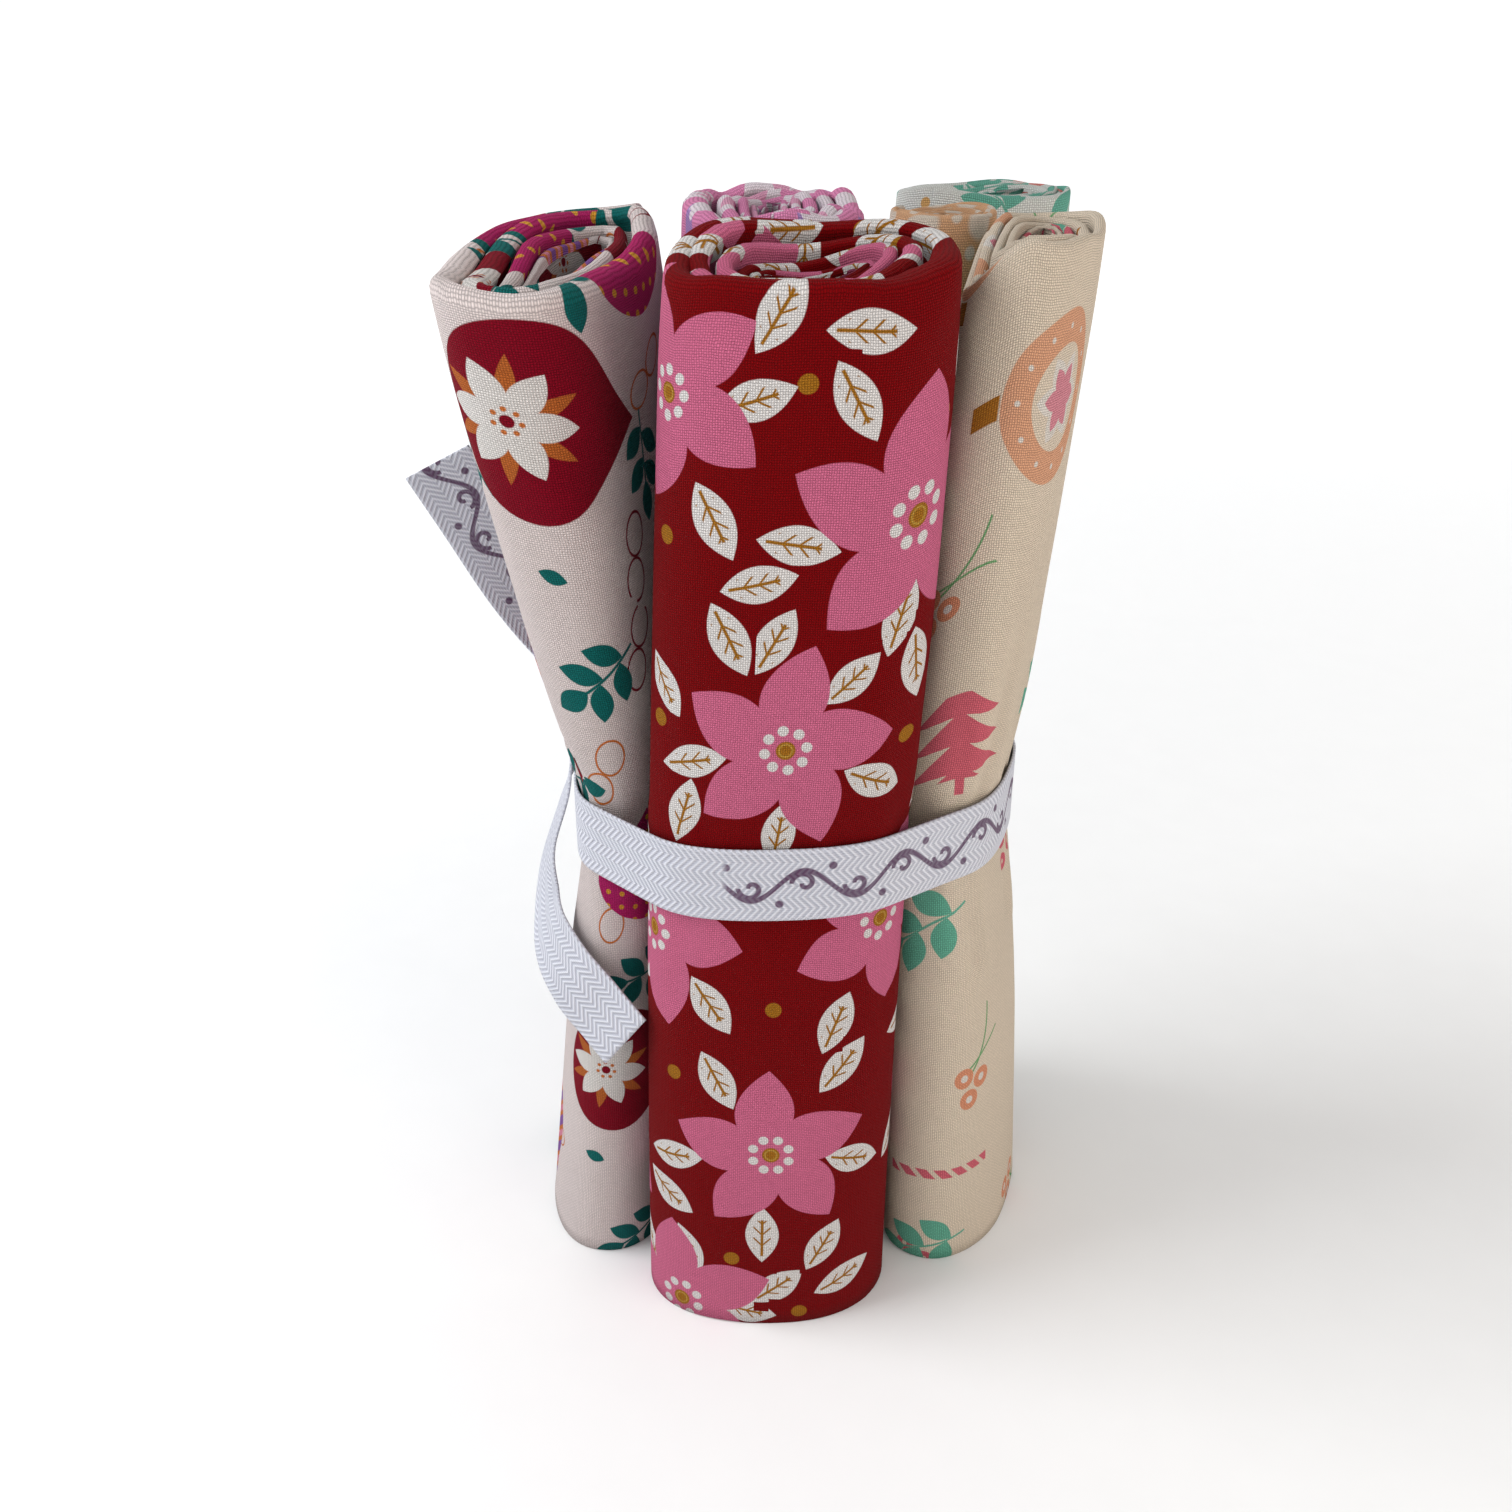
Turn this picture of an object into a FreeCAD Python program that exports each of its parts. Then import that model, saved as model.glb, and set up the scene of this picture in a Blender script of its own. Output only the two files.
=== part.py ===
"""A tied bundle of six rolled cuts of quilting cotton, standing on end.

Each cut is folded once along its length and wound into a soft oval roll. A flat cotton tape
goes once round the waist of the bundle, is tied behind its left-hand roll, and leaves two
short tails that swing at the knot. Millimetres, +Z up, front towards -Y. The finished
bundle stands with the middle of its box on the origin.
"""
import FreeCAD, Part
from collections import namedtuple
import math
import os

Oval = namedtuple("Oval", "x y half_width half_depth turn squareness")
Roll = namedtuple("Roll", "height base waist top")
Stop = namedtuple("Stop", "place across")

# Driving dimensions. A cut is 457 mm wide, so a roll of the folded cut stands 228.6 mm tall,
# a little more where its fold is uneven. x and y are measured from the front of the bundle.
WAIST_Z = 114.3
TAPE_WIDTH = 15.9
TAPE_THICKNESS = 0.9
TAPE_CLEARANCE = 0.5
FLARE = 0.75  # below 1, a roll opens quickly beside the tape and slowly towards its ends
ROLLS = {
    "roll_ornament_cream": Roll(
        228.0,
        Oval(-42, 58, 17, 35, -3, 2.3),
        Oval(-32.5, 53, 11.5, 31, -8, 2.4),
        Oval(-46.2, 58, 19.2, 44, -11.5, 2.8),
    ),
    "roll_poinsettia_crimson": Roll(
        228.6,
        Oval(-5, 19.2, 28, 19, 3, 2.2),
        Oval(-3, 18.5, 26.5, 13.5, 0, 2.5),
        Oval(2.5, 20, 27, 19.5, 0, 2.5),
    ),
    "roll_bauble_ivory": Roll(
        234.0,
        Oval(42, 44.5, 14.5, 26, -28, 2.3),
        Oval(35.3, 42, 11.3, 23, -18, 2.6),
        Oval(45.2, 43, 12.8, 25.5, -18, 2.5),
    ),
    "roll_blossom_pink": Roll(
        234.0,
        Oval(-5, 69, 17.5, 29, 0, 2.6),
        Oval(-4.5, 61.5, 14.5, 28, 0, 2.9),
        Oval(-4, 72.5, 19.5, 31.5, 0, 2.7),
    ),
    "roll_snow_peach": Roll(
        233.0,
        Oval(20.5, 64, 7, 18, -6, 2.5),
        Oval(17.2, 57.5, 6.4, 19, -4, 2.8),
        Oval(31.5, 73.8, 12.2, 12.2, -4, 2.4),
    ),
    "roll_berry_mint": Roll(
        235.0,
        Oval(36, 89.5, 20, 11, -24, 2.5),
        Oval(32, 84, 17, 9, -24, 2.7),
        Oval(42, 98, 20, 12, -12, 2.6),
    ),
}
SECTION_HEIGHTS = (0, 0.1, 0.25, 0.45, 0.7, 1)  # shares of the way from the tape to an end of a roll
SECTION_POINTS = 16
BAND_POINTS = 44

KNOT_CENTRE = FreeCAD.Vector(-41.0, 84.0, 114.5)
KNOT_SIZE = (9, 13, 15)
KNOT_TURN = -42
KNOT_ROUNDING = 3.4

# Each tail is a list of stops along its middle, with the direction across the tape at each.
UPPER_TAIL = (
    Stop((-47.0, 85.0, 123.5), (0.60, 0.80, 0.05)),
    Stop((-53.0, 82.5, 134), (0.70, 0.68, 0.20)),
    Stop((-61.5, 79, 149), (0.80, 0.45, 0.40)),
    Stop((-69.5, 75.5, 165.5), (0.83, 0.15, 0.53)),
    Stop((-76.7, 72, 180.4), (0.83, 0.05, 0.55)),
)
LOWER_TAIL = (
    Stop((-47.5, 77.5, 115.5), (0.05, 0.05, 1.00)),
    Stop((-49.5, 69, 113.5), (0.10, -0.15, 0.97)),
    Stop((-52.2, 60, 103.4), (0.30, -0.62, 0.72)),
    Stop((-55.2, 51, 94.2), (0.30, -0.72, 0.62)),
    Stop((-54.9, 42, 87.2), (0.40, -0.46, 0.76)),
    Stop((-52.8, 31.5, 84.2), (0.40, -0.15, 0.88)),
    Stop((-47.6, 22, 80.9), (0.42, -0.05, 0.87)),
    Stop((-41.0, 16.6, 75.3), (0.40, -0.02, 0.90)),
    Stop((-35.2, 12, 70.4), (0.38, 0.00, 0.92)),
)


def blended(roll, z):
    """The oval of a roll at height z: its waist beside the tape, opening towards both ends."""
    half_tape = TAPE_WIDTH / 2
    end = roll.top if z > WAIST_Z else roll.base
    reach = (roll.height - WAIST_Z if z > WAIST_Z else WAIST_Z) - half_tape
    share = max(0.0, abs(z - WAIST_Z) - half_tape) / reach
    opening = share**FLARE
    return Oval(*(a + (b - a) * opening for a, b in zip(roll.waist, end)))


def oval_points(oval, z, count):
    """Points round a superellipse at height z."""
    turn = FreeCAD.Rotation(FreeCAD.Vector(0, 0, 1), oval.turn)
    centre = FreeCAD.Vector(oval.x, oval.y, z)
    power = 2 / oval.squareness
    points = []
    for step in range(count):
        angle = 2 * math.pi * (step + 0.5) / count
        c, s = math.cos(angle), math.sin(angle)
        across = math.copysign(oval.half_width * abs(c) ** power, c)
        along = math.copysign(oval.half_depth * abs(s) ** power, s)
        points.append(centre + turn.multVec(FreeCAD.Vector(across, along, 0)))
    return points


def closed_curve(points):
    """A smooth closed wire through the points."""
    curve = Part.BSplineCurve()
    curve.interpolate(Points=points, PeriodicFlag=True)
    return Part.Wire([curve.toShape()])


def section_heights(height):
    """Heights of a roll's sections, from its foot to its top, with two at the tape's edges."""
    low_edge = WAIST_Z - TAPE_WIDTH / 2
    high_edge = WAIST_Z + TAPE_WIDTH / 2
    below = [low_edge * (1 - share) for share in reversed(SECTION_HEIGHTS)]
    above = [high_edge + (height - high_edge) * share for share in SECTION_HEIGHTS]
    return below + above


def make_roll(roll):
    """One rolled cut as a closed solid of its outer shape, flat at both ends."""
    wires = []
    for z in section_heights(roll.height):
        wires.append(closed_curve(oval_points(blended(roll, z), z, SECTION_POINTS)))
    return Part.makeLoft(wires, True, True)


def turns_left(a, b, c):
    """True where the way from a through b to c bends to the left."""
    return (b.x - a.x) * (c.y - b.y) - (b.y - a.y) * (c.x - b.x) > 0


def hull(points):
    """The points at the corners of the tightest loop round all the given points."""
    ordered = sorted(points, key=lambda p: (p.x, p.y))
    sides = []
    for sweep in (ordered, ordered[::-1]):
        side = []
        for point in sweep:
            while len(side) > 1 and not turns_left(side[-2], side[-1], point):
                side.pop()
            side.append(point)
        sides += side[:-1]
    return sides


def even_points(corners, count):
    """Points at even steps round a closed run of straight lines."""
    loop = corners + corners[:1]
    lengths = [(b - a).Length for a, b in zip(loop, loop[1:])]
    step = sum(lengths) / count
    points = []
    walked, leg = 0.0, 0
    for index in range(count):
        target = index * step
        while walked + lengths[leg] < target:
            walked += lengths[leg]
            leg += 1
        points.append(loop[leg] + (loop[leg + 1] - loop[leg]) * ((target - walked) / lengths[leg]))
    return points


def pushed_out(points, distance):
    """A closed run of points, each moved outwards square to its neighbours' line."""
    moved = []
    for before, point, after in zip(points[-1:] + points[:-1], points, points[1:] + points[:1]):
        along = after - before
        moved.append(point + FreeCAD.Vector(along.y, -along.x, 0).normalize() * distance)
    return moved


def make_band():
    """The tape round the waist: a thin upright loop, clear of the rolls that it holds."""
    low_edge = WAIST_Z - TAPE_WIDTH / 2
    held = []
    for roll in ROLLS.values():
        held += oval_points(roll.waist, low_edge, 8 * SECTION_POINTS)
    loop = even_points(hull(held), BAND_POINTS)
    inner = closed_curve(pushed_out(loop, TAPE_CLEARANCE))
    outer = closed_curve(pushed_out(loop, TAPE_CLEARANCE + TAPE_THICKNESS))
    ring = Part.Face(outer).cut(Part.Face(inner))
    return ring.extrude(FreeCAD.Vector(0, 0, TAPE_WIDTH)).Solids[0]


def make_knot():
    """The knot as one rounded lump just outside the band."""
    width, depth, height = KNOT_SIZE
    lump = Part.makeBox(width, depth, height, FreeCAD.Vector(-width / 2, -depth / 2, -height / 2))
    lump = lump.makeFillet(KNOT_ROUNDING, lump.Edges)
    lump.rotate(FreeCAD.Vector(0, 0, 0), FreeCAD.Vector(0, 0, 1), KNOT_TURN)
    lump.translate(KNOT_CENTRE)
    return lump


def make_tail(stops):
    """A tail of the tape: a thin strip through the stops, turning as its width does."""
    places = [FreeCAD.Vector(*stop.place) for stop in stops]
    wires = []
    for index, stop in enumerate(stops):
        along = places[min(index + 1, len(stops) - 1)] - places[max(index - 1, 0)]
        across = FreeCAD.Vector(*stop.across)
        face = along.cross(across).normalize() * (TAPE_THICKNESS / 2)
        across = face.cross(along).normalize() * (TAPE_WIDTH / 2)
        corners = [across + face, face - across, -across - face, across - face]
        wires.append(Part.makePolygon([places[index] + c for c in corners + corners[:1]]))
    return Part.makeLoft(wires, True, True)


def main():
    pieces = {name: make_roll(roll) for name, roll in ROLLS.items()}
    pieces["tape_band"] = make_band()
    pieces["tape_knot"] = make_knot()
    pieces["tape_tail_upper"] = make_tail(UPPER_TAIL)
    pieces["tape_tail_lower"] = make_tail(LOWER_TAIL)
    box = Part.makeCompound(list(pieces.values())).BoundBox
    shift = FreeCAD.Vector(-(box.XMin + box.XMax) / 2, -(box.YMin + box.YMax) / 2, -box.ZMin)
    print("moved by", tuple(round(v, 3) for v in shift))
    os.makedirs("parts", exist_ok=True)
    for name, solid in pieces.items():
        solid.translate(shift)
        solid.exportStep(f"parts/{name}.step")
        print(name, solid.isValid(), len(solid.Solids), round(solid.Volume / 1000, 1), "ml")


main()
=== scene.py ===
"""Looks of the tied bundle of rolled quilting cotton: six folded, rolled cuts and their tape."""
import math

import bpy
import numpy as np
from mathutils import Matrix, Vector


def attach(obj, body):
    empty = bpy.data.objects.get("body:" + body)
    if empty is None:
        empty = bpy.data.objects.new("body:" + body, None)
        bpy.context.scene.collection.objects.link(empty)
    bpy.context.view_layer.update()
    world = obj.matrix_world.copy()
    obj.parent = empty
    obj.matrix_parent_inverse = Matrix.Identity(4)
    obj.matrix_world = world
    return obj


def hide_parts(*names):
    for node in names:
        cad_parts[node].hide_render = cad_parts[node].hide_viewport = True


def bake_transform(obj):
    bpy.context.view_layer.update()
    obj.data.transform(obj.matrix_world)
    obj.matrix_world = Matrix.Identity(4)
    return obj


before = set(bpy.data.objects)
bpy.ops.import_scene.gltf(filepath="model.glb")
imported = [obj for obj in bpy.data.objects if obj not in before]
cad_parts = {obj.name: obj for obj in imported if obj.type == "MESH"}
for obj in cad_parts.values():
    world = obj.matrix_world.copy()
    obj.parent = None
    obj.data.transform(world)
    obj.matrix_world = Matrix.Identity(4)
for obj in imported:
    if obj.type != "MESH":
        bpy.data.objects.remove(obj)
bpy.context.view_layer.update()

MM = 0.001

# ---------------------------------------------------------------- camera, light and floor
scene = bpy.context.scene
camera_data = bpy.data.cameras.new("camera")
camera_data.sensor_width = 36.0
camera_data.lens = 36.02
camera = bpy.data.objects.new("camera", camera_data)
camera.location = (0.0036, -0.3075, 0.2672)
camera.rotation_euler = (math.radians(64), 0, 0)
scene.collection.objects.link(camera)
scene.camera = camera
scene.view_settings.view_transform = "Standard"
scene.view_settings.look = "None"

world = bpy.data.worlds.new("studio")
world.use_nodes = True
world.node_tree.nodes["Background"].inputs["Color"].default_value = (0.98, 0.99, 1.0, 1)
world.node_tree.nodes["Background"].inputs["Strength"].default_value = 0.50
scene.world = world


def add_light(name, place, size, power, colour):
    """A square soft light that looks at the middle of the bundle."""
    data = bpy.data.lights.new(name, "AREA")
    data.size = size
    data.energy = power
    data.color = colour
    lamp = bpy.data.objects.new(name, data)
    lamp.location = place
    lamp.rotation_euler = (Vector((0, 0, 0.1)) - Vector(place)).to_track_quat("-Z", "Y").to_euler()
    scene.collection.objects.link(lamp)


add_light("window", (-0.95, -0.08, 0.98), 0.75, 12.0, (0.955, 0.98, 1.0))
add_light("fill", (0.80, -0.62, 0.36), 0.8, 3.6, (1.0, 0.85, 0.71))


# ---------------------------------------------------------------- node expressions
def srgb(r, g, b):
    """A display colour, 0 to 255, as the linear colour that a shader takes."""
    shares = [v / 255 for v in (r, g, b)]
    return tuple(v / 12.92 if v <= 0.04045 else ((v + 0.055) / 1.055) ** 2.4 for v in shares) + (1,)


class Value:
    """A number socket that can be worked with like a number."""

    def __init__(self, net, socket):
        self.net, self.socket = net, socket

    def __add__(self, other):
        return self.net.math("ADD", self, other)

    def __sub__(self, other):
        return self.net.math("SUBTRACT", self, other)

    def __rsub__(self, other):
        return self.net.math("SUBTRACT", other, self)

    def __mul__(self, other):
        return self.net.math("MULTIPLY", self, other)

    def __truediv__(self, other):
        return self.net.math("DIVIDE", self, other)

    def __abs__(self):
        return self.net.math("ABSOLUTE", self)

    __radd__ = __add__
    __rmul__ = __mul__


class Net:
    """A material's node tree, written as expressions."""

    def __init__(self, name):
        self.material = bpy.data.materials.new(name)
        self.material.use_nodes = True
        self.tree = self.material.node_tree
        self.shader = self.tree.nodes["Principled BSDF"]

    def node(self, kind, **settings):
        made = self.tree.nodes.new(kind)
        for key, value in settings.items():
            setattr(made, key, value)
        return made

    def feed(self, socket, value):
        if isinstance(value, Value):
            self.tree.links.new(value.socket, socket)
        elif hasattr(value, "is_output"):
            self.tree.links.new(value, socket)
        else:
            socket.default_value = value

    def math(self, operation, *values, clamp=False):
        made = self.node("ShaderNodeMath", operation=operation, use_clamp=clamp)
        for socket, value in zip(made.inputs, values):
            self.feed(socket, value)
        return Value(self, made.outputs[0])

    def least(self, a, b):
        return self.math("MINIMUM", a, b)

    def most(self, a, b):
        return self.math("MAXIMUM", a, b)

    def sine(self, a):
        return self.math("SINE", a)

    def wrapped(self, a, period):
        """a brought between plus and minus half a period."""
        return self.math("WRAP", a, period / 2, -period / 2)

    def length(self, x, y):
        return self.math("SQRT", x * x + y * y)

    def inside(self, distance, soft=0.22):
        """1 where a distance in millimetres is below 0, and 0 above it, with a soft edge."""
        return self.math("MULTIPLY_ADD", distance, -1.0 / soft, 0.5, clamp=True)

    def attribute(self, name):
        made = self.node("ShaderNodeAttribute", attribute_name=name)
        split = self.node("ShaderNodeSeparateXYZ")
        self.tree.links.new(made.outputs["Vector"], split.inputs[0])
        return [Value(self, split.outputs[k]) for k in range(3)]

    def noise(self, scale, detail=2.0, x=None, y=None):
        made = self.node("ShaderNodeTexNoise")
        made.inputs["Scale"].default_value = scale
        made.inputs["Detail"].default_value = detail
        if x is not None:
            joined = self.node("ShaderNodeCombineXYZ")
            self.feed(joined.inputs[0], x)
            self.feed(joined.inputs[1], y)
            self.tree.links.new(joined.outputs[0], made.inputs["Vector"])
        else:
            place = self.node("ShaderNodeTexCoord")
            self.tree.links.new(place.outputs["Object"], made.inputs["Vector"])
        return Value(self, made.outputs["Fac"])

    def mix(self, share, a, b, blend="MIX"):
        made = self.node("ShaderNodeMix", data_type="RGBA", blend_type=blend)
        self.feed(made.inputs[0], share)
        self.feed(made.inputs[6], a)
        self.feed(made.inputs[7], b)
        return made.outputs[2]

    def lay(self, ground, shape, ink, only=None, soft=0.22):
        """The ground with a shape printed over it, everywhere or only where a mask allows."""
        covered = self.inside(shape, soft)
        return self.mix(covered if only is None else covered * only, ground, ink)


# ---------------------------------------------------------------- printed motifs, in millimetres
THREAD_PITCH = 0.45
COTTON_BUMP, COTTON_RELIEF = 0.8, 0.00026  # strength, and depth in metres


def polar_fold(net, x, y, sides, turned=0.0, swirl=0.0):
    """The point brought into one of the equal sectors round the middle: (along, across, radius)."""
    r = net.length(x, y)
    angle = net.math("ARCTAN2", y, x)
    if swirl:
        angle = angle + r * swirl
    part = net.wrapped(angle + turned, 2 * math.pi / sides)
    return r * net.math("COSINE", part), abs(r * net.math("SINE", part)), r


def petal(net, along, across, long, wide):
    """A pointed petal from the middle out: how far outside it a point is."""
    share = net.most(along / long, 0.0)
    return across - (share * (1.0 - share)) * (4.0 * wide)


def lens(x, y, long, wide):
    """A leaf pointed at both ends, long and wide each way from its middle."""
    share = x / long
    return abs(y) - (1.0 - share * share) * wide


def veins(net, x, y, long, wide, step, thick):
    """The midrib and slanting side veins of a leaf."""
    rib = net.most(abs(y) - thick, abs(x + long * 0.12) - long * 0.66)
    slant = abs(net.wrapped(x - abs(y) * 1.1, step)) - thick * 0.9
    side = net.most(slant, net.most(abs(y) - wide * 0.52, abs(x) - long * 0.52))
    return net.least(rib, side)


def kind_is(net, kind, number):
    """1 on the motifs of one kind, and 0 on the others."""
    return net.math("COMPARE", kind, float(number), 0.4)


def weave(net, u, v):
    """Height of a plain weave's threads, from 0 to 1, and which set of threads is on top."""
    wobble = net.noise(0.35, 1.0, u, v) * 0.5
    pu, pv = (u + wobble) / THREAD_PITCH, (v + wobble) / THREAD_PITCH
    warp = abs(net.sine(pu * math.pi))
    weft = abs(net.sine(pv * math.pi))
    over = net.math("MODULO", net.math("FLOOR", pu) + net.math("FLOOR", pv) + 4000.0, 2.0)
    height = warp * weft * 0.6 + (warp * over + weft * (1.0 - over)) * 0.4
    return height, over


def finish_cloth(net, colour, height, strength, depth, roughness=0.9, sheen=0.02):
    """Joins a cloth's colour and weave to the shader."""
    shader = net.shader
    shader.inputs["Roughness"].default_value = roughness
    shader.inputs["Specular IOR Level"].default_value = 0.05
    shader.inputs["Sheen Weight"].default_value = sheen
    shader.inputs["Sheen Roughness"].default_value = 0.45
    net.tree.links.new(colour, shader.inputs["Base Color"])
    bump = net.node("ShaderNodeBump")
    bump.inputs["Strength"].default_value = strength
    bump.inputs["Distance"].default_value = depth
    net.feed(bump.inputs["Height"], height)
    net.tree.links.new(bump.outputs[0], shader.inputs["Normal"])
    return net.material


def cloth_colour(net, colour, u, v):
    """Adds the weave's own light and shade, and slow unevenness, to a printed colour."""
    height, over = weave(net, u, v)
    slub = net.noise(0.9, 3.0, u, v)
    slow = net.noise(0.03, 2.0, u, v)
    light = (height * 0.52 + slub * 0.14 + slow * 0.08 + over * 0.10 + 0.30) * 0.80
    weave_shade_and_tone = net.node("ShaderNodeCombineColor")
    for k in range(3):
        net.feed(weave_shade_and_tone.inputs[k], light)
    shaded = net.mix(1.0, colour, weave_shade_and_tone.outputs[0], "MULTIPLY")
    return shaded, height + slub * 0.5


def printed(net, colour, u, v):
    """The finished material of a printed cotton."""
    shaded, height = cloth_colour(net, colour, u, v)
    return finish_cloth(net, shaded, height, COTTON_BUMP, COTTON_RELIEF)


def crimson_print():
    net = Net("cotton_crimson_print")
    u, v, _ = net.attribute("cloth")
    ground, pink = srgb(138, 2, 8), srgb(236, 122, 160)
    white, mustard = srgb(255, 250, 247), srgb(184, 122, 34)
    colour = ground
    x, y, _ = net.attribute("dots")
    colour = net.lay(colour, net.length(x, y) - 1.75, mustard)
    x, y, _ = net.attribute("leaves")
    colour = net.lay(colour, lens(x, y, 7.7, 3.7), white)
    colour = net.lay(colour, veins(net, x, y, 7.7, 3.7, 3.0, 0.33), mustard)
    x, y, _ = net.attribute("blooms")
    along, across, _ = polar_fold(net, x, y, 5, swirl=0.012)
    colour = net.lay(colour, petal(net, along, across, 22.5, 6.7), pink)
    along, across, r = polar_fold(net, x, y, 8, 0.2)
    colour = net.lay(colour, net.length(along - 4.3, across) - 1.12, white)
    colour = net.lay(colour, r - 2.0, mustard)
    colour = net.lay(colour, abs(r - 1.35) - 0.18, srgb(214, 168, 74))
    return printed(net, colour, u, v)


def sprig(net, x, y, long, wide):
    """Five leaves on a short stem: how far outside them a point is."""
    half = long * 0.52
    best = net.most(abs(y) - 0.3, abs(x + long * 0.2) - long * 0.95)
    for turn, start in ((0.0, 0.55), (0.85, 0.15), (-0.85, 0.0), (0.95, -0.6), (-0.95, -0.75)):
        c, s = math.cos(turn), math.sin(turn)
        dx, dy = x - long * start - half * 1.05 * c, y - half * 1.05 * s
        best = net.least(best, lens(dx * c + dy * s, dy * c - dx * s, half, wide))
    return best


def onion(net, x, y, wide):
    """A hanging bauble, round and drawn out to a point at +x."""
    y = y * 0.80
    angle = abs(net.math("ARCTAN2", y, x))
    tip = net.math("EXPONENT", angle * -4.4)
    return net.length(x, y) - (tip * 0.46 + 0.91) * wide


def cream_print():
    net = Net("cotton_cream_print")
    u, v, _ = net.attribute("cloth")
    ground, crimson = srgb(252, 237, 234), srgb(146, 10, 36)
    teal, orange = srgb(20, 116, 112), srgb(226, 128, 66)
    white, ochre = srgb(253, 247, 242), srgb(206, 112, 52)
    magenta, lilac = srgb(196, 38, 110), srgb(150, 96, 178)
    colour = ground
    x, y, kind = net.attribute("dots")
    leaf = lens(x, y, 2.6, 1.6)
    colour = net.lay(colour, leaf, teal, only=kind_is(net, kind, 0))
    along, across, _ = polar_fold(net, x, y, 2)
    loop = abs(net.length(along - 4.6, across * 1.5) - 4.4) - 0.3
    colour = net.lay(colour, loop, crimson, only=kind_is(net, kind, 1))
    colour = net.lay(colour, loop, orange, only=kind_is(net, kind, 2))
    x, y, _ = net.attribute("leaves")
    colour = net.lay(colour, sprig(net, x, y, 8.0, 2.3), teal)
    x, y, kind = net.attribute("blooms")
    drop = net.inside(onion(net, x, y, 17.0))
    body = net.mix(kind_is(net, kind, 1), crimson, orange)
    body = net.mix(kind_is(net, kind, 2), body, magenta)
    stripe = net.inside(abs(net.wrapped(x + y * 0.2, 7.6)) - 1.5, 0.3)
    body = net.mix(stripe * kind_is(net, kind, 1), body, lilac)
    fine = net.inside(abs(net.wrapped(x + y * 0.2 + 3.8, 7.6)) - 0.9, 0.3)
    body = net.mix(fine * kind_is(net, kind, 1), body, srgb(242, 150, 176))
    dotted = net.inside(net.length(net.wrapped(x, 5.0), net.wrapped(y, 5.0)) - 0.9)
    body = net.mix(dotted * kind_is(net, kind, 2), body, srgb(240, 170, 60))
    colour = net.mix(drop, colour, body)
    inner = kind_is(net, kind, 0)
    along, across, _ = polar_fold(net, x + 3.0, y, 6, 0.52)
    leafy = petal(net, along, across, 12.6, 1.6)
    colour = net.lay(colour, leafy, ochre, only=inner)
    along, across, _ = polar_fold(net, x + 3.0, y, 6)
    colour = net.lay(colour, petal(net, along, across, 11.4, 2.8), white, only=inner)
    along, across, r = polar_fold(net, x + 3.0, y, 7)
    seeds = net.inside(net.length(along - 2.3, across) - 0.5)
    colour = net.mix(seeds * inner, colour, orange)
    colour = net.lay(colour, r - 1.2, crimson, only=inner)
    return printed(net, colour, u, v)


def ivory_print():
    net = Net("cotton_ivory_print")
    u, v, _ = net.attribute("cloth")
    ground, peach = srgb(253, 235, 212), srgb(250, 186, 148)
    coral, mint = srgb(240, 116, 132), srgb(118, 200, 172)
    green, mustard = srgb(132, 190, 130), srgb(190, 124, 44)
    white, rose = srgb(254, 246, 236), srgb(246, 160, 174)
    colour = ground
    x, y, kind = net.attribute("dots")
    band = net.most(abs(y) - 1.3, abs(x) - 13.0)
    candy = net.inside(band) * net.inside(abs(net.wrapped(x + y * 0.8, 4.2)) - 1.35)
    colour = net.mix(candy * kind_is(net, kind, 0), colour, coral)
    along, across, _ = polar_fold(net, x, y, 3)
    berry = abs(net.length(along - 3.2, across) - 1.35) - 0.75
    colour = net.lay(colour, berry, coral, only=kind_is(net, kind, 1))
    x, y, kind = net.attribute("leaves")
    colour = net.lay(colour, sprig(net, x, y, 9.5, 2.9), mint, only=kind_is(net, kind, 0))
    stalk = net.least(
        net.most(abs(y - x * x * 0.03) - 0.3, abs(x - 5.0) - 8.5),
        net.most(abs(y + x * 0.45 - 0.5) - 0.3, abs(x - 3.0) - 6.0),
    )
    colour = net.lay(colour, stalk, green, only=kind_is(net, kind, 1))
    fruit = net.length(x + 5.0, y - 1.6) - 2.7
    fruit = net.least(fruit, net.length(x + 3.2, y + 4.0) - 2.7)
    fruit = net.least(fruit, net.length(x + 9.2, y + 3.4) - 2.7)
    colour = net.lay(colour, fruit, srgb(250, 168, 130), only=kind_is(net, kind, 1))
    colour = net.lay(colour, fruit + 1.7, white, only=kind_is(net, kind, 1))
    x, y, kind = net.attribute("blooms")
    r = net.length(x, y)
    ring = abs(r - 12.6) - 3.0
    colour = net.lay(colour, ring, peach, only=kind_is(net, kind, 0))
    along, across, _ = polar_fold(net, x, y, 12)
    beads = net.length(along - 12.6, across) - 0.55
    colour = net.lay(colour, beads, white, only=kind_is(net, kind, 0))
    along, across, _ = polar_fold(net, x, y, 6)
    for long, wide, tint in ((8.6, 2.6, white), (6.4, 1.9, rose)):
        star = net.inside(petal(net, along, across, long, wide))
        colour = net.mix(star * kind_is(net, kind, 0), colour, tint)
    cap = net.most(abs(x + 18.2) - 2.3, abs(y) - 2.3)
    colour = net.lay(colour, cap, mustard, only=kind_is(net, kind, 0))
    tier = net.math("MODULO", x + 30.0, 7.0)
    pine = net.most(abs(y) - (7.4 - tier) * 1.35 - (12.0 - x) * 0.12, abs(x) - 10.5)
    trunk = net.most(abs(x + 12.4) - 2.2, abs(y) - 1.2)
    colour = net.lay(colour, net.least(pine, trunk), coral, only=kind_is(net, kind, 1))
    return printed(net, colour, u, v)


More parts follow.
